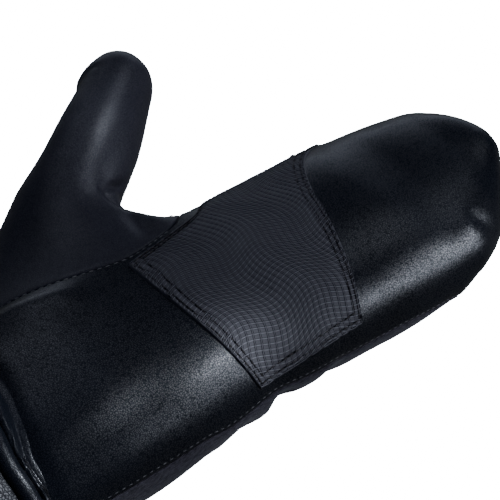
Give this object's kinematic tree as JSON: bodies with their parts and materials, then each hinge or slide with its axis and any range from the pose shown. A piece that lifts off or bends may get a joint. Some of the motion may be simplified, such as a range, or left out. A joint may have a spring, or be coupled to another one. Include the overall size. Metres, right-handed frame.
{
  "type": "padded mitten",
  "caption": "Padded leather mitten for the left hand with a set-in thumb, rubbery palm grip, gathered wrist and open cuff, lying palm up.",
  "frame": {"origin": "on the flattened patch of the back that the mitten rests on, in line with the middle of the palm's width", "axes": "+Y from the cuff to the fingertips, -X towards the thumb, +Z out of the palm, away from the floor"},
  "size_m": [0.1668, 0.2995, 0.0703],
  "materials": {
    "palm_leather": "smooth, fine pebble grain, soft sheen",
    "cuff_leather": "pebbled, creased, soft sheen",
    "back_fabric": "matte melange softshell weave",
    "grip_rubber": "matte, raised rounded squares",
    "hem_binding": "matte ribbed tape"
  },
  "bodies": {
    "root": {"palm_panel": "palm_leather", "fingertip_cap": "palm_leather", "thumb_front": "palm_leather", "thumb_tip": "palm_leather", "wrist_gather": "cuff_leather", "wrist_roll": "cuff_leather", "cuff_palm": "cuff_leather", "back_panel": "back_fabric", "thumb_back": "back_fabric", "cuff_back": "back_fabric", "grip_patch": "grip_rubber", "cuff_hem": "hem_binding"}
  },
  "joints": []
}
